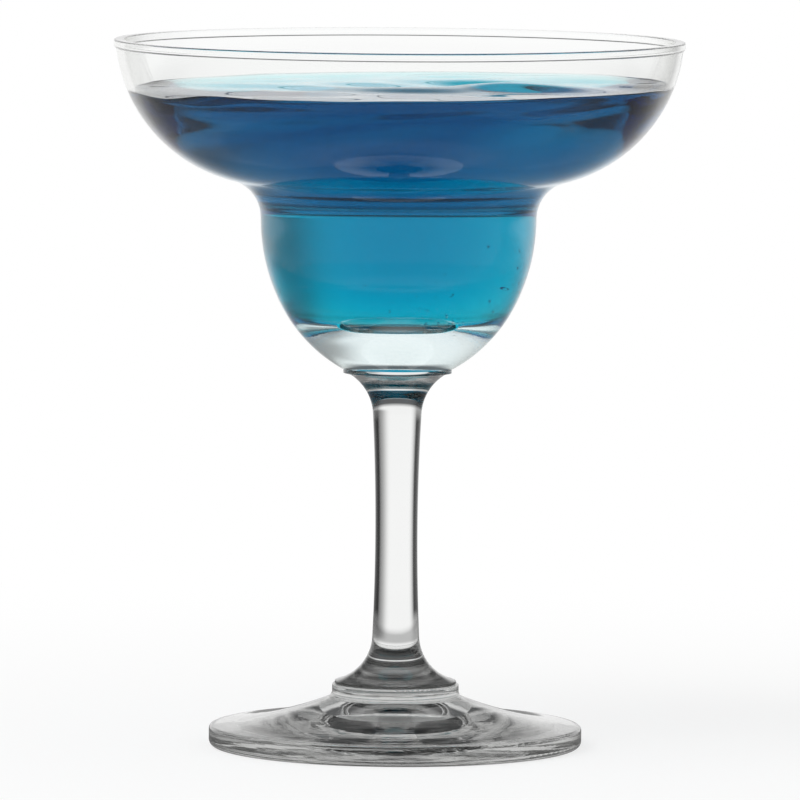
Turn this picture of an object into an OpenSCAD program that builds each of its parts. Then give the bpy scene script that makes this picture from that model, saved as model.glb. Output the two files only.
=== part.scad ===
// Margarita glass with a blue drink in it. A blown bowl, a pressed stem and a pressed foot are fused
// end to end on flat seats. Each piece is turned about the Z axis. The origin is the middle of the
// standing ring, on the table, and +Z points up. Sizes are millimetres, angles degrees.

/* [Bowl] */
// Outside diameter across the band along the rim
rim_d = 106.5; // [96:0.5:118]
// Height of the bowl from its seat on the stem to the top of the rim
bowl_h = 61.2; // [58:0.1:72]
// Thickness of the band along the rim
band_t = 1.9; // [1.6:0.1:2.6]
// Height of the band
band_h = 1.6; // [1.4:0.1:2.4]
// Radius along the upper corners of the band
band_round = 0.25; // [0.15:0.05:0.6]
// Radius along the lower corners of the band
band_roll = 0.5; // [0.3:0.05:0.7]
// Wall thickness below the band
rim_wall = 1.3; // [1:0.1:1.5]
// Outward lean of the dish wall at the rim
rim_lean = 5; // [1:0.5:9]
// Outside radius of the wide dish
dish_r = 28.7; // [26:0.1:30]
// Angle below the level of the dish's centre at which its wall starts to thicken
even_turn = 32; // [20:0.5:40]
// Wall thickness on the floor of the dish
floor_wall = 2.6; // [1.6:0.1:3]
// Outside radius of the hollow curve between dish and cup
neck_fillet = 7.3; // [4:0.1:9]
// Outside diameter of the cup just under the dish
neck_d = 51.5; // [44:0.1:58]
// Share of the cup's height that its side takes, above the curve of its bottom
cup_side_share = 0.6; // [0.45:0.01:0.7]
// Angle that the cup's side turns through, from upright, before the curve of its bottom
cup_side_turn = 28; // [18:0.5:36]
// Width of the cup's flat seat that shows around the stem's disc
seat_ledge = 0.55; // [0.1:0.05:1.5]
// Glass thickness between the inside floor of the cup and the seat
base_t = 9.7; // [6:0.1:12]
// Least diameter of the flat floor inside the cup
floor_d = 14.2; // [8:0.2:20]

/* [Stem] */
// Height of the stem from the foot to the bowl
stem_h = 59.2; // [46:0.2:80]
// Diameter of the disc at the top of the stem
head_d = 20.3; // [17:0.1:22]
// Height of the disc's edge
head_lip = 0.9; // [0.5:0.1:1.5]
// Width of the ledge under the disc's edge
head_ledge = 0.6; // [0.2:0.1:1.2]
// Height of the flare under the disc
head_flare_h = 7.7; // [7:0.1:12]
// Diameter at the narrowest place
waist_d = 7.9; // [6:0.1:10]
// Height of the narrowest place above the foot
waist_up = 28; // [22:0.5:34]
// Radius of the long hollow curve along the stem
waist_curve_r = 430; // [250:10:800]
// Height of the flare above the foot
tail_flare_h = 8.3; // [8.2:0.1:12]
// Diameter of the stem's lower end
tail_d = 22.7; // [19:0.1:23.4]
// Height of the edge around the stem's lower end
tail_lip = 0.5; // [0.2:0.1:1]

/* [Foot] */
// Height of the foot to the top of its collar
foot_h = 11.8; // [10.4:0.1:15]
// Diameter of the foot
foot_d = 69.8; // [60:0.2:80]
// Height of the foot's edge
edge_h = 3.9; // [3.1:0.1:5]
// Radius along the upper corner of the edge
edge_round = 0.8; // [0.3:0.1:1.2]
// Radius along the lower corner of the edge
base_round = 1.2; // [0.4:0.1:1.8]
// Width of the collar's top that shows around the stem
collar_ledge = 0.5; // [0.45:0.05:1.5]
// Height of the collar above the foot's slope
collar_h = 2.3; // [1.8:0.1:3]
// Radius along the collar's upper edge
collar_round = 0.35; // [0.1:0.05:0.4]
// Radius of the curve between collar and slope
collar_fillet = 1.4; // [0.4:0.1:1.6]
// Radius of the hollow slope from collar to edge
slope_r = 75; // [60:1:150]
// Width of the flat ring that the glass stands on
ring_w = 4.5; // [2:0.1:8]
// Rise of the shallow hollow inside the standing ring
hollow_h = 1.2; // [0.5:0.1:2]
// Diameter of the deeper hollow below the collar
dimple_d = 28.4; // [20:0.2:34]
// Rise of the deeper hollow
dimple_h = 3.6; // [2.5:0.1:5]

/* [Drink] */
// Distance from the top of the rim down to the drink
headspace = 8.9; // [5:0.1:16]
// Clearance between the drink and the glass
film = 0.05; // [0.02:0.01:0.2]

/* [Hidden] */
$fn = 180;

clear_glass = [0.86, 0.92, 0.93, 0.35];
pressed_glass = [0.72, 0.76, 0.77, 0.5];
drink_blue = [0.09, 0.5, 0.69, 0.85];

// Facets on a circle, so that a wide arc is as smooth as a narrow one
function facets(r) = 60 + 4 * ceil(r);

function unit(v) = v / norm(v);

// Vector turned a quarter turn to the left
function left_of(v) = [-v.y, v.x];

// Point at the distance r from c that lies towards p
function towards(c, r, p) = c + r * unit(p - c);

// Centre of an arc of radius r through a and b, on the left of the way from a to b
function arc_centre(a, b, r) =
    let (half = (b - a) / 2)
    a + half + sqrt(r * r - half * half) * unit(left_of(half));

// Centre of the arc that carries on from an arc around c, at its point p, and ends at e
function next_centre(c, p, e) =
    let (n = unit(c - p), way = e - p)
    p + n * (way * way) / (2 * (way * n));

// Radius of an arc that rises by h over a half width of r
function cap_radius(r, h) = (r * r + h * h) / (2 * h);

// Heights of the seats and of the rim
seat_z = foot_h + stem_h;
rim_z = seat_z + bowl_h;
band_c = [rim_d / 2 - band_t / 2, rim_z - band_h / 2];

// Arc centres and joins along the outside of the bowl, from the rim down
wall_top = band_c + [rim_wall / 2, 0];
dish_c = wall_top + dish_r * [-cos(rim_lean), sin(rim_lean)];
neck_x = neck_d / 2 + neck_fillet;
neck_c = [neck_x, dish_c.y - sqrt(pow(dish_r + neck_fillet, 2) - pow(neck_x - dish_c.x, 2))];
dish_foot = towards(neck_c, neck_fillet, dish_c);
neck_side = [neck_d / 2, neck_c.y];
cup_side_r = cup_side_share * (neck_c.y - seat_z) / sin(cup_side_turn);
side_c = neck_side - [cup_side_r, 0];
cup_turn = side_c + cup_side_r * [cos(cup_side_turn), -sin(cup_side_turn)];
seat_edge = [head_d / 2 + seat_ledge, seat_z];
bottom_c = next_centre(side_c, cup_turn, seat_edge);

// Arc centres and radii along the inside of the bowl, from the rim down
even_r = dish_r - rim_wall;
even_way = [cos(even_turn), -sin(even_turn)];
dish_in_r = (dish_r - floor_wall - even_r * sin(even_turn)) / (1 - sin(even_turn));
dish_in_c = dish_c + (even_r - dish_in_r) * even_way;
neck_in_r = norm(dish_in_c - neck_c) - dish_in_r;
side_in_r = neck_c.x - neck_in_r - side_c.x;
floor_z = seat_z + base_t;
cup_depth = neck_c.y - floor_z;
floor_reach = floor_d / 2 - side_c.x;
corner_fit = (pow(side_in_r, 2) - pow(floor_reach, 2) - pow(cup_depth, 2)) / (side_in_r - cup_depth) / 2;
// A shallow cup leaves its inside corner less height, and so a wider floor
corner_r = min(corner_fit, 0.98 * cup_depth);
corner_x = side_c.x + sqrt(pow(side_in_r - corner_r, 2) - pow(cup_depth - corner_r, 2));
corner_c = [corner_x, floor_z + corner_r];

// Arc centres and joins along the stem
waist_c = [waist_d / 2 + waist_curve_r, foot_h + waist_up];
head_end = [head_d / 2 - head_ledge, seat_z - head_lip];
tail_end = [tail_d / 2, foot_h + tail_lip];
head_turn = waist_side(head_end.y - head_flare_h);
tail_turn = waist_side(tail_end.y + tail_flare_h);
head_c = next_centre(waist_c, head_turn, head_end);
tail_c = next_centre(waist_c, tail_turn, tail_end);

// Point on the stem's long curve at the height z
function waist_side(z) = [waist_c.x - sqrt(pow(waist_curve_r, 2) - pow(z - waist_c.y, 2)), z];

// Arc centres and joins along the top of the foot
collar_r = tail_d / 2 + collar_ledge;
slope_end = [foot_d / 2 - edge_round, edge_h];
slope_c = arc_centre([collar_r, foot_h - collar_h], slope_end, slope_r);
fillet_x = collar_r + collar_fillet;
fillet_c = [fillet_x, slope_c.y - sqrt(pow(slope_r - collar_fillet, 2) - pow(fillet_x - slope_c.x, 2))];
fillet_end = towards(slope_c, slope_r, fillet_c);

// Area between the chord from a to b and its arc around c
module slice(c, a, b) {
    r = norm(a - c);
    middle = (a + b) / 2 - c;
    out = 2 * (r - norm(middle)) * unit(middle);
    intersection() {
        translate(c) circle(r, $fn = facets(r));
        polygon([a, b, b + out, a + out]);
    }
}

// Half outline of the bowl as if it were solid
module bowl_outside() {
    difference() {
        union() {
            polygon([[0, seat_z], seat_edge, cup_turn, neck_side, dish_foot, wall_top, [0, wall_top.y]]);
            slice(bottom_c, seat_edge, cup_turn);
            slice(side_c, cup_turn, neck_side);
            slice(dish_c, dish_foot, wall_top);
        }
        slice(neck_c, neck_side, dish_foot);
    }
}

// Half outline of the space inside the bowl, kept gap away from the glass
module bowl_inside(gap) {
    floor = [corner_x, floor_z + gap];
    turn = towards(side_c, side_in_r - gap, corner_c);
    neck = [neck_c.x - neck_in_r - gap, neck_c.y];
    dish = towards(neck_c, neck_in_r + gap, dish_in_c);
    even = dish_c + (even_r - gap) * even_way;
    top = towards(dish_c, even_r - gap, wall_top);
    difference() {
        union() {
            polygon([[0, floor.y], floor, turn, neck, dish, even, top, [0, top.y]]);
            slice(corner_c, floor, turn);
            slice(side_c, turn, neck);
            slice(dish_in_c, dish, even);
            slice(dish_c, even, top);
        }
        slice(neck_c, neck, dish);
    }
}

// Half outline of the band along the rim
module rim_band() {
    half = band_t / 2;
    low = -band_h / 2;
    high = band_h / 2;
    translate(band_c) {
        polygon([
            [band_roll - half, low], [half - band_roll, low], [half, low + band_roll],
            [half, high - band_round], [half - band_round, high], [band_round - half, high],
            [-half, high - band_round], [-half, low + band_roll]
        ]);
        for (side = [-1, 1]) {
            translate([side * (half - band_roll), low + band_roll]) circle(band_roll);
            translate([side * (half - band_round), high - band_round]) circle(band_round);
        }
    }
}

// Blown bowl: a wide dish over a small cup, with a thick base and a banded rim
module bowl() {
    color(clear_glass)
    rotate_extrude() {
        difference() {
            bowl_outside();
            bowl_inside(0);
        }
        rim_band();
    }
}

// Pressed stem: a waisted rod that flares to a disc under the bowl and to the foot
module stem() {
    color(pressed_glass)
    rotate_extrude()
    difference() {
        polygon([
            [0, foot_h], [tail_end.x, foot_h], tail_end, tail_turn, head_turn, head_end,
            [head_d / 2, head_end.y], [head_d / 2, seat_z], [0, seat_z]
        ]);
        slice(tail_c, tail_end, tail_turn);
        slice(waist_c, tail_turn, head_turn);
        slice(head_c, head_turn, head_end);
    }
}

// Hollow under the foot, a cap of half width r that rises by h
module cap(r, h) {
    cap_r = cap_radius(r, h);
    translate([0, h - cap_r]) circle(cap_r, $fn = facets(cap_r));
}

// Pressed foot: a sloping disc with a stepped collar and a hollow underside
module foot() {
    edge_top = [foot_d / 2, edge_h - edge_round];
    edge_low = [foot_d / 2, base_round];
    ring_out = [foot_d / 2 - base_round, 0];
    fillet_top = [collar_r, fillet_c.y];
    collar_top = [collar_r - collar_round, foot_h];
    collar_side = [collar_r, foot_h - collar_round];
    color(pressed_glass)
    rotate_extrude()
    difference() {
        union() {
            polygon([
                [0, 0], ring_out, edge_low, edge_top, slope_end, fillet_end, fillet_top,
                collar_side, collar_top, [0, foot_h]
            ]);
            slice([ring_out.x, edge_low.y], ring_out, edge_low);
            slice([slope_end.x, edge_top.y], edge_top, slope_end);
            slice([collar_top.x, collar_side.y], collar_side, collar_top);
        }
        slice(slope_c, slope_end, fillet_end);
        slice(fillet_c, fillet_end, fillet_top);
        cap(ring_out.x - ring_w, hollow_h);
        cap(dimple_d / 2, dimple_h);
    }
}

// Blue drink: it fills the cup and most of the dish
module drink() {
    color(drink_blue)
    rotate_extrude()
    intersection() {
        bowl_inside(film);
        square([rim_d / 2, rim_z - headspace]);
    }
}

bowl();
stem();
foot();
drink();
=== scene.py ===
"""Margarita glass with a blue drink: the finishes of its pieces and the stage it stands on."""
import math
import random

import bmesh
import bpy
import numpy as np
from mathutils import Matrix, Vector


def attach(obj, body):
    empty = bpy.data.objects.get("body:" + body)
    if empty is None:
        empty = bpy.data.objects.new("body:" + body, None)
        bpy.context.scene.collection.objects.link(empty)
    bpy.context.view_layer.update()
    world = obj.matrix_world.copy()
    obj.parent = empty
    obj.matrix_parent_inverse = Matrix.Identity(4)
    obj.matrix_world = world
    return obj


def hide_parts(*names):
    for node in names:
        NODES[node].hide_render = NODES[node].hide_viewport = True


bl_info = {
    "name": "Margarita Glass",
    "version": (1, 0, 0),
    "blender": (4, 5, 0),
    "location": "View3D > Sidebar > Glass",
    "description": "Dresses the bowl, stem, foot and drink of a margarita glass and sets its stage",
    "category": "Add Mesh",
}

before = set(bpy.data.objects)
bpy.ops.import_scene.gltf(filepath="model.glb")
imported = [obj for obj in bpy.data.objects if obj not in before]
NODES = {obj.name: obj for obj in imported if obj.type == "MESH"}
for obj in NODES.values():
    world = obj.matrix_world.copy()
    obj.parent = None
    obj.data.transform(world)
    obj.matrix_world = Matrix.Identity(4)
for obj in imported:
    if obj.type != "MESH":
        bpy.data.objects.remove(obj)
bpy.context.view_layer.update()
BODY = "root"
MM = 0.001
SMALL = 1e-6
WHITE = (1, 1, 1, 1)

# Faces around a turned piece, the most that they lie off its outline, the turn that makes a corner sharp, and
# the shortest edge of a CAD mesh that counts
AROUND = 320
SAG = 0.004 * MM
SHARP_TURN = 0.2
SHORTEST = 5 * SMALL

# Stretches of the stem over which the painted shade on its edges fades in, and its share at the stretch's
# start
STEM_SHADE_FADES = (((20 * MM, 26 * MM), 0.4), ((65 * MM, 61 * MM), 0.75))

# Chill rings in pressed glass: how quickly they change across X, across Y and away from the axis, per metre
RING_CHANGE = (55.0, 55.0, 420.0)
# Noise values between which a smear on the glass begins and is full
SMEAR_SPAN = (0.52, 0.75)

# Groups of crests on the drink: middle in X and Y, reach in X and Y, share of the crests' height
CREST_GROUPS = (
    (8 * MM, -4 * MM, 26 * MM, 16 * MM, 1.0),
    (-34 * MM, -32 * MM, 9 * MM, 8 * MM, 1.6),
)
# Lengths and heights of single wave trains, as shares of those that are asked for
TRAIN_LENGTHS = (0.55, 1.6)
TRAIN_HEIGHTS = (0.5, 1.0)
# Rings of the drink's surface, as shares of its radius: close at the wall, then evenly to the middle
SURFACE_RINGS = np.concatenate([1 - np.geomspace(0.002, 0.06, 14), np.linspace(0.935, 0.012, 90)])
# Spacing of the points along the drink's side, and how far its side is carried on above its level
SIDE_SPACING = 0.5 * MM
SIDE_ABOVE = 4 * MM

# Bubbles: shares of the largest size, gaps to the wall, least height over the cup's floor, powers that make
# most of them small and low, and how many there are for each one that lies anywhere around the cup
BUBBLE_SEED = 11
BUBBLE_SIZES = (0.35, 1.0)
BUBBLE_GAPS = (0.15 * MM, 1.2 * MM)
BUBBLE_LIFT = 0.1 * MM
SMALL_POWER = 1.5
LOW_POWER = 1.8
LOOSE_BUBBLE = 4

# Parts of a direction between which the grey card starts and is full, to the right and the back, and between
# which it ends upwards
CARD_RIGHT = (0.12, 0.6)
CARD_BACK = (0.05, 0.35)
CARD_TOP = (0.05, 0.2)
# Distances from the axis between which the card starts to count on the floor
CARD_START = (50 * MM, 120 * MM)

# Distances from the axis between which the floor below the glass grows to full light, seen through it, and
# between which the floor's own shade turns white, seen by the camera, each with its share at the nearer one
CONTACT = ((14 * MM, 27 * MM), 0.05)
SHADE = ((50 * MM, 300 * MM), 0.7)
# Distances between which the dimmer floor near the glass starts, and between which it ends
NEAR_START = (40 * MM, 70 * MM)
NEAR_END = (100 * MM, 140 * MM)
# Places on the floor and parts of a direction between which the light of the front becomes that of the back
FLOOR_BACK = (100 * MM, 500 * MM)
SKY_BACK = (0.2, 0.8)
# Elevations at which the darker ceiling starts and is full, and at which it starts to end and has ended
CEILING_ANGLES = [math.radians(angle) for angle in (11, 19, 33, 43)]

FLOOR_SIDES = 96
SENSOR_WIDTH = 36
CLIP = (0.1, 50)
BOUNCES = {"max_bounces": 40, "transmission_bounces": 40, "glossy_bounces": 16, "transparent_max_bounces": 16}


class GlassSettings(bpy.types.PropertyGroup):
    """Clear glass of the bowl, stem and foot, with painted shade where it turns away and where the stem is
    fused.
    """

    tint: bpy.props.FloatVectorProperty(
        name="Tint", description="Colour of the glass seen face on",
        subtype="COLOR", size=3, min=0, max=1, default=(0.985, 0.99, 0.985))
    # Painted shade on the bowl: the colour that its glass darkens to where it turns away from the view,
    # drawing dark edges
    bowl_edge_shade: bpy.props.FloatVectorProperty(
        name="Bowl edge", description="Painted shade on the thin blown glass where it turns away",
        subtype="COLOR", size=3, min=0, max=1, default=(0.62, 0.63, 0.6))
    # Painted shade on the stem: the near-black colour that its glass darkens to where it turns away from the
    # view
    stem_edge_shade: bpy.props.FloatVectorProperty(
        name="Stem edge", description="Painted shade on the stem's glass where it turns away",
        subtype="COLOR", size=3, min=0, max=1, default=(0.004, 0.004, 0.004))
    # Painted shade on the foot: the colour that its glass darkens to where it turns away from the view
    foot_edge_shade: bpy.props.FloatVectorProperty(
        name="Foot edge", description="Painted shade on the foot's glass where it turns away",
        subtype="COLOR", size=3, min=0, max=1, default=(0.27, 0.27, 0.26))
    # Partly a dark fused joint, partly painted shade: these colours dim the light through the stem's fused
    # ends
    bowl_seam_and_shade: bpy.props.FloatVectorProperty(
        name="Bowl seam", description="Colour of the seam, partly painted shade, where the stem is fused to the bowl",
        subtype="COLOR", size=3, min=0, max=1, default=(0.35, 0.35, 0.36))
    foot_seam_and_shade: bpy.props.FloatVectorProperty(
        name="Foot seam", description="Colour of the seam, partly painted shade, where the stem is fused to the foot",
        subtype="COLOR", size=3, min=0, max=1, default=(0.13, 0.13, 0.13))
    depth_colour: bpy.props.FloatVectorProperty(
        name="Depth colour", description="Colour that long ways through the glass lean to",
        subtype="COLOR", size=3, min=0, max=1, default=(0.5, 0.5, 0.49))
    bowl_density: bpy.props.FloatProperty(
        name="Bowl density", description="Density of the depth colour in the blown glass, per metre",
        min=0, default=2.0)
    pressed_density: bpy.props.FloatProperty(
        name="Pressed density", description="Density of the depth colour in the pressed glass, per metre",
        min=0, default=18.0)
    ior: bpy.props.FloatProperty(
        name="IOR", description="Index of refraction of the glass", min=1, max=2, default=1.52)
    smear: bpy.props.FloatProperty(
        name="Smear", description="Roughness of the faint smears on the glass", min=0, max=1, default=0.012)
    fuse_depth: bpy.props.FloatProperty(
        name="Fuse depth",
        description="How far the stem reaches into the bowl and the foot where they are fused",
        unit="LENGTH", min=0, default=0.15 * MM)


class DrinkSettings(bpy.types.PropertyGroup):
    """Blue drink in the bowl."""

    colour: bpy.props.FloatVectorProperty(
        name="Colour", description="Colour that the drink leans to with depth",
        subtype="COLOR", size=3, min=0, max=1, default=(0.0, 0.881, 0.929))
    density: bpy.props.FloatProperty(
        name="Density", description="Density of the colour, per metre", min=0, default=260.0)
    ior: bpy.props.FloatProperty(
        name="IOR", description="Index of refraction of the drink", min=1, max=2, default=1.34)
    ripple_height: bpy.props.FloatProperty(
        name="Ripple height", description="Height of the ripples on the surface",
        unit="LENGTH", min=0, default=0.06 * MM)
    crest_height: bpy.props.FloatProperty(
        name="Crest height", description="Height of the crests in the middle of the surface",
        unit="LENGTH", min=0, default=0.6 * MM)
    ripple_length: bpy.props.FloatProperty(
        name="Ripple length", description="Distance between ripples",
        unit="LENGTH", min=1 * MM, default=24 * MM)
    slosh: bpy.props.FloatProperty(
        name="Slosh", description="Tilt of the surface, up towards +X",
        unit="ROTATION", default=math.radians(0.7))
    meniscus: bpy.props.FloatProperty(
        name="Meniscus", description="Height that the drink climbs up the glass",
        unit="LENGTH", min=0, default=0.3 * MM)
    meniscus_width: bpy.props.FloatProperty(
        name="Meniscus width", description="Width of the climb",
        unit="LENGTH", min=0.1 * MM, default=1.3 * MM)
    wet_depth: bpy.props.FloatProperty(
        name="Wet depth", description="How far the drink's skin lies inside the glass that it wets",
        unit="LENGTH", min=0, default=0.2 * MM)
    bubbles: bpy.props.IntProperty(
        name="Bubbles", description="Number of fine bubbles on the inside of the cup", min=0, default=70)
    bubble_size: bpy.props.FloatProperty(
        name="Bubble size", description="Diameter of the largest bubble",
        unit="LENGTH", min=0, default=0.55 * MM)
    bubble_reach: bpy.props.FloatProperty(
        name="Bubble reach", description="Height above the cup's floor that the bubbles reach",
        unit="LENGTH", min=0, default=14 * MM)
    bubble_way: bpy.props.FloatProperty(
        name="Bubble way", description="Way from the axis, turned from +X, that most bubbles lie",
        unit="ROTATION", default=math.radians(-38))
    bubble_spread: bpy.props.FloatProperty(
        name="Bubble spread", description="Spread of the bubbles to both sides of that way",
        unit="ROTATION", min=0, default=math.radians(30))


class StageSettings(bpy.types.PropertyGroup):
    """Floor, light and camera."""

    floor_colour: bpy.props.FloatVectorProperty(
        name="Floor", description="Colour of the floor",
        subtype="COLOR", size=3, min=0, max=1, default=(0.92, 0.92, 0.92))
    floor_radius: bpy.props.FloatProperty(
        name="Floor radius", description="Radius of the floor", unit="LENGTH", min=0.1, default=6.0)
    ceiling: bpy.props.FloatVectorProperty(
        name="Ceiling", description="Darker ceiling that shows in the glass",
        subtype="COLOR", size=3, min=0, max=1, default=(0.13, 0.132, 0.135))
    top_light: bpy.props.FloatVectorProperty(
        name="Top light", description="Soft light overhead that shows in the glass",
        subtype="COLOR", size=3, min=0, max=1, default=(1.0, 1.0, 1.0))
    fill: bpy.props.FloatProperty(
        name="Fill", description="Strength of the soft light from all around", min=0, default=0.72)
    front_share: bpy.props.FloatProperty(
        name="Front share",
        description="Share of the surround's light that the glass reflects from the front",
        min=0, max=1, default=0.25)
    card_share: bpy.props.FloatProperty(
        name="Card share",
        description="Share of the light that a grey card behind the glass, to its right, leaves",
        min=0, max=1, default=0.42)
    near_share: bpy.props.FloatProperty(
        name="Near floor share",
        description="Share of the light that the floor near the glass sends up through it",
        min=0, max=1, default=0.55)
    softbox_power: bpy.props.FloatProperty(
        name="Softbox power", description="Power of the softbox", unit="POWER", min=0, default=9.0)
    softbox_size: bpy.props.FloatProperty(
        name="Softbox size", description="Side of the softbox", unit="LENGTH", min=0, default=1.0)
    softbox_place: bpy.props.FloatVectorProperty(
        name="Softbox place", description="Place of the softbox, which faces the origin",
        subtype="TRANSLATION", unit="LENGTH", size=3, default=(-0.7, -0.6, 1.3))
    camera_distance: bpy.props.FloatProperty(
        name="Camera distance", description="Level distance from the glass to the camera",
        unit="LENGTH", default=1.82)
    camera_height: bpy.props.FloatProperty(
        name="Camera height",
        description="Height of the camera above the floor", unit="LENGTH", default=0.217)
    aim_height: bpy.props.FloatProperty(
        name="Aim height", description="Height of the point that the camera looks at",
        unit="LENGTH", default=64.95 * MM)
    aim_side: bpy.props.FloatProperty(
        name="Aim side", description="Distance of that point to the right of the glass's axis",
        unit="LENGTH", default=0.5 * MM)
    frame_width: bpy.props.FloatProperty(
        name="Frame width", description="Width that the picture shows at the glass",
        unit="LENGTH", default=149.47 * MM)
    roll: bpy.props.FloatProperty(
        name="Roll", description="Lean of the glass to the right in the picture",
        unit="ROTATION", default=math.radians(0.4))


def add_node(tree, kind, sources=None, **settings):
    """A new node with settings by name. A source is the output that an input is linked to, or its value."""
    node = tree.nodes.new(kind)
    for name, value in settings.items():
        setattr(node, name, value)
    for socket, source in (sources or {}).items():
        if isinstance(source, bpy.types.NodeSocket):
            tree.links.new(source, node.inputs[socket])
        else:
            node.inputs[socket].default_value = source
    return node


def smooth_step(tree, value, span, low, high):
    """Output that goes smoothly from low to high as the value crosses the span."""
    sources = {"Value": value, "From Min": span[0], "From Max": span[1], "To Min": low, "To Max": high}
    return add_node(tree, "ShaderNodeMapRange", sources, interpolation_type="SMOOTHSTEP").outputs["Result"]


def math_of(tree, operation, first, second):
    """Output of an operation on two values."""
    return add_node(tree, "ShaderNodeMath", {0: first, 1: second}, operation=operation).outputs[0]


def mixed(tree, share, first, second):
    """Output that goes from the first value to the second as the share goes from 0 to 1."""
    return add_node(tree, "ShaderNodeMix", {0: share, 2: first, 3: second}).outputs[0]


def mixed_colour(tree, share, first, second):
    """Output that goes from the first colour to the second as the share goes from 0 to 1."""
    sources = {0: share, 6: (*first, 1), 7: (*second, 1)}
    return add_node(tree, "ShaderNodeMix", sources, data_type="RGBA").outputs[2]


def mixed_shader(tree, share, first, second):
    """Node that goes from the first node's shader to the second's as the share goes from 0 to 1."""
    return add_node(tree, "ShaderNodeMixShader", {0: share, 1: first.outputs[0], 2: second.outputs[0]})


def parts_of(tree, vector):
    """X, Y and Z of a vector."""
    return add_node(tree, "ShaderNodeSeparateXYZ", {0: vector}).outputs


def new_group(name, inputs, outputs):
    """A new node group, whose outputs are all values, and the sockets of what it is given."""
    tree = bpy.data.node_groups.new(name, "ShaderNodeTree")
    for socket, kind in inputs.items():
        tree.interface.new_socket(socket, in_out="INPUT", socket_type=kind)
    for socket in outputs:
        tree.interface.new_socket(socket, in_out="OUTPUT", socket_type="NodeSocketFloat")
    return tree, add_node(tree, "NodeGroupInput").outputs


def new_material(name):
    """A new material and its empty node tree."""
    material = bpy.data.materials.new(name)
    material.use_nodes = True
    material.node_tree.nodes.clear()
    return material, material.node_tree


def glass_skin():
    """Node group: the slow waves, the chill rings and the faint smears on fire-polished glass."""
    name = "Glass Skin"
    if name in bpy.data.node_groups:
        return bpy.data.node_groups[name]
    kind = "NodeSocketFloat"
    tree, given = new_group(name, {"Waves": kind, "Rings": kind, "Smear": kind}, ("Height", "Roughness"))
    place = add_node(tree, "ShaderNodeTexCoord").outputs["Object"]
    waves = add_node(tree, "ShaderNodeTexNoise", {"Vector": place, "Scale": given["Waves"], "Detail": 1.5})
    parts = parts_of(tree, place)
    level = add_node(tree, "ShaderNodeCombineXYZ", {"X": parts["X"], "Y": parts["Y"]}).outputs[0]
    reach = add_node(tree, "ShaderNodeVectorMath", {0: level}, operation="LENGTH").outputs["Value"]
    turned = add_node(tree, "ShaderNodeCombineXYZ", {"X": parts["X"], "Y": parts["Y"], "Z": reach}).outputs[0]
    spread = add_node(tree, "ShaderNodeVectorMath", {0: turned, 1: RING_CHANGE}, operation="MULTIPLY")
    rings = add_node(tree, "ShaderNodeTexNoise", {"Vector": spread.outputs[0], "Scale": 1.0, "Detail": 2.0})
    ring_part = math_of(tree, "MULTIPLY", rings.outputs["Fac"], given["Rings"])
    smears = add_node(tree, "ShaderNodeTexNoise", {"Vector": place, "Scale": 38.0, "Detail": 4.0})
    add_node(tree, "NodeGroupOutput", {
        "Height": math_of(tree, "ADD", waves.outputs["Fac"], ring_part),
        "Roughness": smooth_step(tree, smears.outputs["Fac"], SMEAR_SPAN, 0.0, given["Smear"]),
    })
    return tree


def add_outputs(tree, shader, colour, density):
    """Gives a material its shader, and a colour that deepens with the way through it."""
    depth = add_node(tree, "ShaderNodeVolumeAbsorption", {"Color": (*colour, 1), "Density": density})
    add_node(tree, "ShaderNodeOutputMaterial", {"Surface": shader.outputs[0], "Volume": depth.outputs[0]})


def clear_glass(name, face, edge, turn, density, gloss, waves, relief, rings=0.0, fades=()):
    """Clear glass of one colour face on and a painted shade where it turns away, which fades at some heights.
    """
    glass = bpy.context.scene.glass_settings
    material, tree = new_material(name)
    surface = {"Waves": waves, "Rings": rings, "Smear": glass.smear}
    skin = add_node(tree, "ShaderNodeGroup", surface, node_tree=glass_skin()).outputs
    bump = add_node(tree, "ShaderNodeBump", {"Strength": 1.0, "Distance": relief, "Height": skin["Height"]})
    # Painted shade: the edge colour takes over where the surface turns away from the view, and fades in at
    # some heights
    facing = add_node(tree, "ShaderNodeLayerWeight", {"Blend": 0.5}).outputs["Facing"]
    share = smooth_step(tree, facing, turn, 0.0, 1.0)
    for span, least in fades:
        height = parts_of(tree, add_node(tree, "ShaderNodeTexCoord").outputs["Object"])["Z"]
        share = math_of(tree, "MULTIPLY", smooth_step(tree, height, span, least, 1.0), share)
    shader = add_node(tree, "ShaderNodeBsdfPrincipled", {
        "Base Color": mixed_colour(tree, share, face, edge),
        "Roughness": skin["Roughness"],
        "Normal": bump.outputs["Normal"],
        "Transmission Weight": 1.0,
        "IOR": glass.ior,
        "Specular Tint": (gloss, gloss, gloss, 1),
    })
    add_outputs(tree, shader, glass.depth_colour, density)
    return material


def drink_finish():
    """Clear blue liquid that deepens with the way through it."""
    drink = bpy.context.scene.drink_settings
    material, tree = new_material("Blue drink")
    shader = add_node(tree, "ShaderNodeBsdfPrincipled", {
        "Base Color": WHITE,
        "Roughness": 0.0,
        "Transmission Weight": 1.0,
        "IOR": drink.ior,
        "Specular Tint": (0, 0, 0, 1),
    })
    add_outputs(tree, shader, drink.colour, drink.density)
    return material


def dress(node, material):
    """Gives a CAD node its finish."""
    if not node.material_slots:
        node.data.materials.append(material)
    for slot in node.material_slots:
        slot.material = material


def add_piece(name, mesh, node, slot, *finishes):
    """A new piece that stands for a CAD node and rides with the glass."""
    for finish in finishes:
        mesh.materials.append(finish)
    piece = bpy.data.objects.new(name, mesh)
    bpy.context.scene.collection.objects.link(piece)
    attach(piece, BODY)
    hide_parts(node)


def circle(count):
    """Angles evenly around the axis."""
    return np.linspace(0, math.tau, count, endpoint=False)


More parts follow.
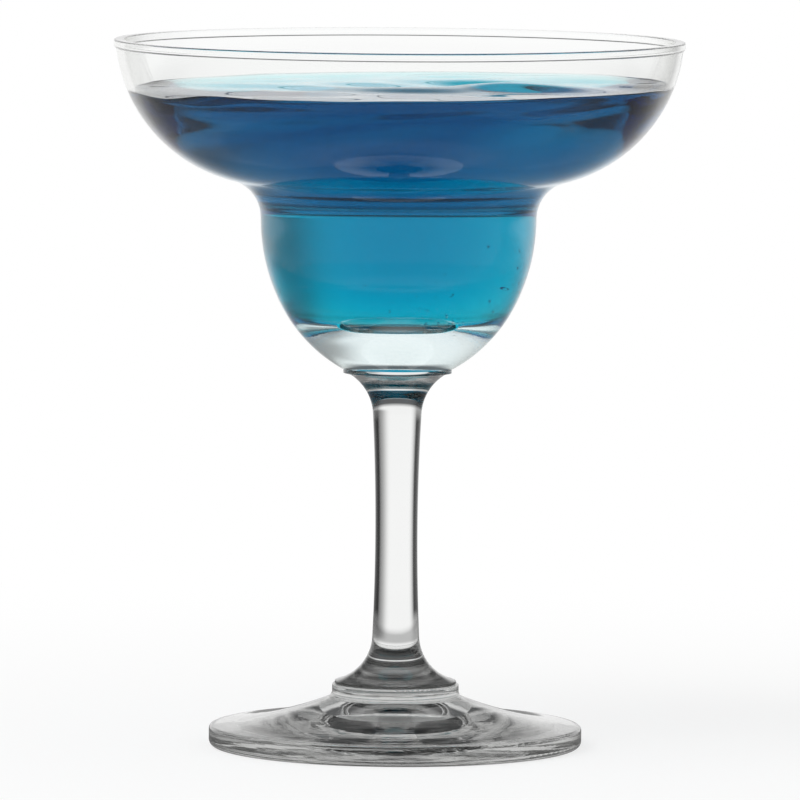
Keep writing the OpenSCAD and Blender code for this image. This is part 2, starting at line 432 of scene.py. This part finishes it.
def add_grid(mesh, rows, corners):
    """Adds closed rings of points, each joined to the next by faces, with sharp edges along the corners."""
    rings = [[mesh.verts.new(point) for point in row] for row in rows]
    around = len(rings[0])
    for low, high in zip(rings, rings[1:]):
        for k in range(around):
            n = (k + 1) % around
            mesh.faces.new((low[k], low[n], high[n], high[k]))
    for corner in corners:
        for k in range(around):
            mesh.edges.get((rings[corner][k], rings[corner][(k + 1) % around])).smooth = False
    return rings


def add_cap(mesh, ring, height, up, finish=0):
    """Closes a ring with a fan of faces to the axis, in the mesh's finish of that number."""
    middle = mesh.verts.new((0, 0, height))
    for k in range(len(ring)):
        a, b = ring[k], ring[(k + 1) % len(ring)]
        mesh.faces.new((a, b, middle) if up else (b, a, middle)).material_index = finish


def finished_mesh(name, mesh):
    """A smooth-shaded mesh from a bmesh."""
    for face in mesh.faces:
        face.smooth = True
    data = bpy.data.meshes.new(name)
    mesh.to_mesh(data)
    mesh.free()
    return data


def seam_edges(node):
    """The edges along a turned CAD node's seam, in order from below: their ends and the normals there."""
    mesh = node.data
    near = {}
    for face in mesh.polygons:
        corners = list(zip(face.vertices, face.loop_indices))
        for (a, i), (b, j) in zip(corners, corners[1:] + corners[:1]):
            ends = [mesh.vertices[k].co for k in (a, b)]
            if not all(abs(end.y) < SMALL / 10 and end.x > -SMALL for end in ends):
                continue
            places = [(round(end.x / SMALL), round(end.z / SMALL)) for end in ends]
            if places[0] == places[1]:
                continue
            ways = [mesh.corner_normals[k].vector for k in (i, j)]
            ways = [(way.x, way.z) for way in ways]
            near.setdefault(places[0], {})[places[1]] = ways
            near.setdefault(places[1], {})[places[0]] = ways[::-1]
    place = min((end for end in near if len(near[end]) == 1), key=lambda end: (end[1], end[0]))
    chain = [place]
    for k in range(len(near) - 1):
        chain.append(next(end for end in near[chain[-1]] if end not in chain[-2:]))
    return [(np.array(a) * SMALL, np.array(b) * SMALL, *map(np.array, near[a][b]))
            for a, b in zip(chain, chain[1:])]


def turned_outline(node):
    """A turned CAD node's smooth outline, as distances from the axis and heights, and its corners."""
    points, corners, last = [], [], None
    for start, end, *normals in seam_edges(node):
        way = end - start
        chord = np.hypot(*way)
        if chord < SHORTEST:
            continue
        tangents = [np.array((-normal[1], normal[0])) / np.hypot(*normal) for normal in normals]
        tangents = [tangent * math.copysign(chord, tangent @ way) for tangent in tangents]
        if last is None:
            points.append(start)
        elif abs(math.atan2(np.linalg.det([last, tangents[0]]), last @ tangents[0])) > SHARP_TURN:
            corners.append(len(points) - 1)
        turn = math.acos(min(1.0, tangents[0] @ tangents[1] / chord ** 2))
        count = max(1, math.ceil(math.sqrt(chord * turn / 8 / SAG)))
        for t in np.arange(1, count + 1) / count:
            points.append((2 * t ** 3 - 3 * t ** 2 + 1) * start + (t ** 3 - 2 * t ** 2 + t) * tangents[0]
                          + (3 * t ** 2 - 2 * t ** 3) * end + (t ** 3 - t ** 2) * tangents[1])
        last = tangents[1]
    return np.array(points), corners


def turned_mesh(name, node, fuse=0.0):
    """A finely turned copy of a CAD node. A fused one has its flat ends pushed out, in their own finishes."""
    line, corners = turned_outline(node)
    line[0, 1] -= fuse
    line[-1, 1] += fuse
    turn = circle(AROUND)
    rows = [np.column_stack([r * np.cos(turn), r * np.sin(turn), np.full(AROUND, z)]) for r, z in line]
    mesh = bmesh.new()
    rings = add_grid(mesh, rows, [0, *corners])
    add_cap(mesh, rings[0], line[0, 1], up=False, finish=1 if fuse else 0)
    add_cap(mesh, rings[-1], line[-1, 1], up=True, finish=2 if fuse else 0)
    return finished_mesh(name, mesh)


def wall_outline(node):
    """Outline of a turned CAD node's side, from floor to top, as distances from the axis and heights."""
    points = np.array([(math.hypot(v.co.x, v.co.y), v.co.z) for v in node.data.vertices])
    points = points[np.lexsort((-points[:, 0], points[:, 1]))]
    low, high = points[0, 1], points[-1, 1]
    edge = points[points[:, 1] < low + SMALL][:, 0].max()
    inner = (points[:, 1] > low + SMALL) & (points[:, 1] < high - SMALL)
    top = points[points[:, 1] > high - SMALL][:, 0].max()
    line = [(edge, low)]
    for point in points[inner]:
        if math.dist(point, line[-1]) > SIDE_SPACING:
            line.append(tuple(point))
    return np.array(line + [(top, high)])


def wetted_outline(line, depth):
    """The outline moved outwards by the depth, and carried on above its top."""
    way = np.gradient(line, axis=0)
    way /= np.linalg.norm(way, axis=1)[:, None]
    skin = line + depth * np.column_stack([way[:, 1], -way[:, 0]])
    slope = (skin[-1, 0] - skin[-4, 0]) / (skin[-1, 1] - skin[-4, 1])
    return np.vstack([skin, skin[-1] + (slope * SIDE_ABOVE, SIDE_ABOVE)])


def ripples(seed, count, length, height, spread):
    """Wave trains to the back, within the spread of that way: a function of x and y that gives the height."""
    dice = random.Random(seed)
    trains = []
    for k in range(count):
        heading = math.pi / 2 + dice.uniform(-spread, spread)
        number = math.tau / (length * dice.uniform(*TRAIN_LENGTHS))
        phase = dice.uniform(0, math.tau)
        weight = dice.uniform(*TRAIN_HEIGHTS)
        trains.append((number * math.cos(heading), number * math.sin(heading), phase, weight))
    share = height / math.sqrt(sum(train[3] ** 2 for train in trains))

    def height_at(x, y):
        return share * sum(weight * np.sin(kx * x + ky * y + phase) for kx, ky, phase, weight in trains)
    return height_at


def drink_mesh():
    """The drink: its wetted side, a rippled surface with a meniscus, and bubbles as hollows inside."""
    drink = bpy.context.scene.drink_settings
    line = wall_outline(NODES["drink"])
    skin = wetted_outline(line, drink.wet_depth)
    floor_z, level = skin[0, 1], line[-1, 1]
    turn = circle(AROUND)
    edge_r = np.interp(level, skin[:, 1], skin[:, 0])
    length = drink.ripple_length
    waves = ripples(seed=7, count=9, length=length, height=drink.ripple_height, spread=math.pi)
    crests = ripples(seed=23, count=6, length=length, height=drink.crest_height, spread=0.6)

    def surface(r):
        x, y = r * np.cos(turn), r * np.sin(turn)
        climb = drink.meniscus * np.exp((r - edge_r) / drink.meniscus_width)
        near = sum(share * np.exp(-((x - px) / wx) ** 2 / 2 - ((y - py) / wy) ** 2 / 2)
                   for px, py, wx, wy, share in CREST_GROUPS)
        return level + math.tan(drink.slosh) * x + waves(x, y) + near * crests(x, y) + climb

    def ring(r, z):
        return np.column_stack([r * np.cos(turn), r * np.sin(turn), z])

    edge_z = surface(edge_r)
    rows = []
    for share in (line[:, 1] - line[0, 1]) / (level - line[0, 1]):
        z = floor_z + share * (edge_z - floor_z)
        top_r = np.interp(z, skin[:, 1], skin[:, 0])
        rows.append(ring(top_r, z))
    corner = len(rows) - 1
    rows += [ring(top_r * step, surface(edge_r * step)) for step in SURFACE_RINGS]
    mesh = bmesh.new()
    rings = add_grid(mesh, rows, [corner])
    add_cap(mesh, rings[0], floor_z, up=False)
    add_cap(mesh, rings[-1], float(surface(0.0).mean()), up=True)
    add_bubbles(mesh, line)
    return finished_mesh("rippled_drink", mesh)


def add_bubbles(mesh, line):
    """Fine bubbles that cling to the inside of the cup, as hollows in the drink."""
    drink = bpy.context.scene.drink_settings
    dice = random.Random(BUBBLE_SEED)
    for k in range(drink.bubbles):
        size = drink.bubble_size * dice.uniform(*BUBBLE_SIZES) ** SMALL_POWER / 2
        up = dice.uniform(0.0, 1.0) ** LOW_POWER
        z = line[0, 1] + size + BUBBLE_LIFT + up * drink.bubble_reach
        r = np.interp(z, line[:, 1], line[:, 0]) - size - dice.uniform(*BUBBLE_GAPS)
        clung = k % LOOSE_BUBBLE
        heading = dice.gauss(drink.bubble_way, drink.bubble_spread) if clung else dice.uniform(0, math.tau)
        middle = Vector((r * math.cos(heading), r * math.sin(heading), z))
        made = bmesh.ops.create_icosphere(mesh, subdivisions=2, radius=size)
        bmesh.ops.translate(mesh, verts=made["verts"], vec=middle)
        faces = {face for vert in made["verts"] for face in vert.link_faces}
        bmesh.ops.reverse_faces(mesh, faces=list(faces))


def side_card():
    """Node group: the share of light left along a direction by a grey card behind the glass, to its right."""
    name = "Side Card"
    if name in bpy.data.node_groups:
        return bpy.data.node_groups[name]
    tree, given = new_group(name, {"Direction": "NodeSocketVector"}, ("Share",))
    way = add_node(tree, "ShaderNodeVectorMath", {0: given["Direction"]}, operation="NORMALIZE").outputs[0]
    parts = parts_of(tree, way)
    right = smooth_step(tree, parts["X"], CARD_RIGHT, 0.0, 1.0)
    back = smooth_step(tree, parts["Y"], CARD_BACK, 0.0, 1.0)
    top = smooth_step(tree, parts["Z"], CARD_TOP, 1.0, 0.0)
    inside = math_of(tree, "MULTIPLY", math_of(tree, "MULTIPLY", right, back), top)
    card_share = bpy.context.scene.stage_settings.card_share
    add_node(tree, "NodeGroupOutput", {"Share": smooth_step(tree, inside, (0.0, 1.0), 1.0, card_share)})
    return tree


def floor_finish():
    """Pale floor that keeps the glass's shadow and turns white away from it, and is dimmer near the glass."""
    stage = bpy.context.scene.stage_settings
    material, tree = new_material("Floor")
    rays = add_node(tree, "ShaderNodeLightPath").outputs
    place = add_node(tree, "ShaderNodeTexCoord").outputs["Object"]
    away = add_node(tree, "ShaderNodeVectorMath", {0: place}, operation="LENGTH").outputs["Value"]
    share = rays["Is Glossy Ray"]
    for ray, (span, least) in (("Is Transmission Ray", CONTACT), ("Is Camera Ray", SHADE)):
        share = mixed(tree, rays[ray], share, smooth_step(tree, away, span, least, 1.0))
    card = add_node(tree, "ShaderNodeGroup", {"Direction": place}, node_tree=side_card()).outputs["Share"]
    card = mixed(tree, smooth_step(tree, away, CARD_START, 0.0, 1.0), 1.0, card)
    near = smooth_step(tree, away, NEAR_START, 1.0, stage.near_share)
    near = math_of(tree, "MAXIMUM", near, smooth_step(tree, away, NEAR_END, 0.0, 1.0))
    back = smooth_step(tree, parts_of(tree, place)["Y"], FLOOR_BACK, stage.front_share, 1.0)
    strength = mixed(tree, rays["Is Transmission Ray"], back, math_of(tree, "MULTIPLY", card, near))
    strength = mixed(tree, rays["Is Camera Ray"], strength, 1.0)
    paint = add_node(tree, "ShaderNodeBsdfDiffuse", {"Color": (*stage.floor_colour, 1)})
    white = add_node(tree, "ShaderNodeEmission", {"Strength": strength})
    surface = mixed_shader(tree, share, paint, white)
    add_node(tree, "ShaderNodeOutputMaterial", {"Surface": surface.outputs[0]})
    return material


def studio_world():
    """Plain soft light. The camera sees a white surround, and the glass a darker ceiling too."""
    stage = bpy.context.scene.stage_settings
    world = bpy.data.worlds.new("Studio")
    world.use_nodes = True
    tree = world.node_tree
    tree.nodes.clear()
    rays = add_node(tree, "ShaderNodeLightPath").outputs
    way = add_node(tree, "ShaderNodeTexCoord").outputs["Generated"]
    parts = parts_of(tree, way)
    ramp = add_node(tree, "ShaderNodeValToRGB", {"Fac": parts["Z"]})
    bands = ramp.color_ramp.elements
    for angle, colour in zip(CEILING_ANGLES, (WHITE[:3], stage.ceiling, stage.ceiling, stage.top_light)):
        bands.new(math.sin(angle)).color = (*colour, 1)
    bands[0].color = WHITE
    bands[-1].color = (*stage.top_light, 1)
    back = smooth_step(tree, parts["Y"], SKY_BACK, stage.front_share, 1.0)
    card = add_node(tree, "ShaderNodeGroup", {"Direction": way}, node_tree=side_card()).outputs["Share"]
    strength = mixed(tree, rays["Is Transmission Ray"], back, card)
    plain = add_node(tree, "ShaderNodeBackground", {"Color": WHITE, "Strength": stage.fill})
    surround = add_node(tree, "ShaderNodeBackground", {"Color": ramp.outputs["Color"], "Strength": strength})
    white = add_node(tree, "ShaderNodeBackground", {"Color": WHITE})
    glassy = math_of(tree, "MAXIMUM", rays["Is Glossy Ray"], rays["Is Transmission Ray"])
    unseen = mixed_shader(tree, glassy, plain, surround)
    surface = mixed_shader(tree, rays["Is Camera Ray"], unseen, white)
    add_node(tree, "ShaderNodeOutputWorld", {"Surface": surface.outputs[0]})
    return world


def add_floor():
    """A round floor under the glass."""
    stage = bpy.context.scene.stage_settings
    mesh = bmesh.new()
    bmesh.ops.create_circle(mesh, cap_ends=True, segments=FLOOR_SIDES, radius=stage.floor_radius)
    data = bpy.data.meshes.new("floor")
    mesh.to_mesh(data)
    mesh.free()
    data.materials.append(floor_finish())
    floor = bpy.data.objects.new("floor", data)
    bpy.context.scene.collection.objects.link(floor)


def add_softbox():
    """A soft lamp at the front left, which casts the shadow and doesn't show in the glass."""
    stage = bpy.context.scene.stage_settings
    lamp = bpy.data.lights.new("softbox", "AREA")
    lamp.energy = stage.softbox_power
    lamp.size = stage.softbox_size
    softbox = bpy.data.objects.new("softbox", lamp)
    softbox.location = stage.softbox_place
    softbox.rotation_euler = (-softbox.location).to_track_quat("-Z", "Y").to_euler()
    softbox.visible_glossy = False
    softbox.visible_transmission = False
    bpy.context.scene.collection.objects.link(softbox)


def add_camera():
    """The camera, at the photograph's angle."""
    scene = bpy.context.scene
    stage = scene.stage_settings
    lens = bpy.data.cameras.new("camera")
    camera = bpy.data.objects.new("camera", lens)
    camera.location = (stage.aim_side, -stage.camera_distance, stage.camera_height)
    camera.rotation_mode = "QUATERNION"
    way = Vector((stage.aim_side, 0, stage.aim_height)) - camera.location
    turn = way.to_track_quat("-Z", "Y").to_matrix().to_4x4()
    camera.matrix_world = Matrix.Translation(camera.location) @ turn @ Matrix.Rotation(stage.roll, 4, "Z")
    lens.sensor_width = SENSOR_WIDTH
    lens.lens = SENSOR_WIDTH * way.length / stage.frame_width
    lens.clip_start, lens.clip_end = CLIP
    scene.collection.objects.link(camera)
    scene.camera = camera


class GLASS_OT_bowl(bpy.types.Operator):
    """Make the blown bowl, finely turned"""

    bl_idname = "glass.bowl"
    bl_label = "Bowl"

    def execute(self, context):
        glass = context.scene.glass_settings
        # The bowl gets a painted shade where its glass turns away from the view
        finish = clear_glass(
            "Blown glass", glass.tint, glass.bowl_edge_shade, turn=(0.5, 1.0), density=glass.bowl_density,
            gloss=0.4, waves=45, relief=0.02 * MM)
        add_piece("turned_bowl", turned_mesh("turned_bowl", NODES["bowl"]), "bowl", "bowl_glass", finish)
        return {"FINISHED"}


class GLASS_OT_stem(bpy.types.Operator):
    """Make the pressed stem, fused to the bowl and the foot"""

    bl_idname = "glass.stem"
    bl_label = "Stem"

    def execute(self, context):
        glass = context.scene.glass_settings
        pressed = {"density": glass.pressed_density, "gloss": 0.4, "waves": 110, "relief": 0.02 * MM}
        # The stem gets a painted shade on its edges, which fades in over the stretches given
        finish = clear_glass(
            "Pressed stem glass", glass.tint, glass.stem_edge_shade, turn=(0.17, 0.42), fades=STEM_SHADE_FADES, **pressed)
        # The stem's fused ends are dark: partly a joint in the glass, partly painted shade
        seams_and_shade = (("Foot seam and shade glass", glass.foot_seam_and_shade), ("Bowl seam and shade glass", glass.bowl_seam_and_shade))
        finishes = [clear_glass(name, colour, colour, turn=(0.0, 1.0), **pressed) for name, colour in seams_and_shade]
        mesh = turned_mesh("fused_stem", NODES["stem"], glass.fuse_depth)
        add_piece("fused_stem", mesh, "stem", "stem_glass", finish, *finishes)
        return {"FINISHED"}


class GLASS_OT_foot(bpy.types.Operator):
    """Finish the pressed foot"""

    bl_idname = "glass.foot"
    bl_label = "Foot"

    def execute(self, context):
        glass = context.scene.glass_settings
        # The foot gets a painted shade where its glass turns away from the view
        finish = clear_glass(
            "Pressed foot glass", glass.tint, glass.foot_edge_shade, turn=(0.5, 1.0), density=glass.pressed_density,
            gloss=0.6, waves=60, relief=0.08 * MM, rings=0.6)
        dress(NODES["foot"], finish)
        return {"FINISHED"}


class GLASS_OT_drink(bpy.types.Operator):
    """Pour the blue drink, with ripples, a meniscus and fine bubbles"""

    bl_idname = "glass.drink"
    bl_label = "Drink"

    def execute(self, context):
        add_piece("rippled_drink", drink_mesh(), "drink", "drink", drink_finish())
        return {"FINISHED"}


class GLASS_OT_stage(bpy.types.Operator):
    """Set the floor, the light and the camera"""

    bl_idname = "glass.stage"
    bl_label = "Stage"

    def execute(self, context):
        scene = context.scene
        scene.view_settings.view_transform = "Standard"
        scene.world = studio_world()
        add_floor()
        add_softbox()
        add_camera()
        for name, count in BOUNCES.items():
            setattr(scene.cycles, name, count)
        return {"FINISHED"}


class GLASS_PT_panel(bpy.types.Panel):
    """Pieces of the glass and their settings"""

    bl_idname = "GLASS_PT_panel"
    bl_label = "Margarita Glass"
    bl_space_type = "VIEW_3D"
    bl_region_type = "UI"
    bl_category = "Glass"

    def draw(self, context):
        for kind, settings in SETTINGS.items():
            box = self.layout.box()
            for name in kind.bl_rna.properties.keys():
                if name not in {"rna_type", "name"}:
                    box.prop(getattr(context.scene, settings), name)
        for operator in OPERATORS:
            self.layout.operator(operator.bl_idname)


SETTINGS = {GlassSettings: "glass_settings", DrinkSettings: "drink_settings", StageSettings: "stage_settings"}
OPERATORS = (GLASS_OT_bowl, GLASS_OT_stem, GLASS_OT_foot, GLASS_OT_drink, GLASS_OT_stage)


def register():
    """Registers the settings, the operators and the panel."""
    for kind in (*SETTINGS, *OPERATORS, GLASS_PT_panel):
        bpy.utils.register_class(kind)
    for kind, name in SETTINGS.items():
        setattr(bpy.types.Scene, name, bpy.props.PointerProperty(type=kind))


def unregister():
    """Takes them out again."""
    for name in SETTINGS.values():
        delattr(bpy.types.Scene, name)
    for kind in reversed((*SETTINGS, *OPERATORS, GLASS_PT_panel)):
        bpy.utils.unregister_class(kind)


def main():
    """Makes every piece and the stage."""
    register()
    bpy.ops.glass.bowl()
    bpy.ops.glass.stem()
    bpy.ops.glass.foot()
    bpy.ops.glass.drink()
    bpy.ops.glass.stage()


if __name__ == "__main__":
    main()
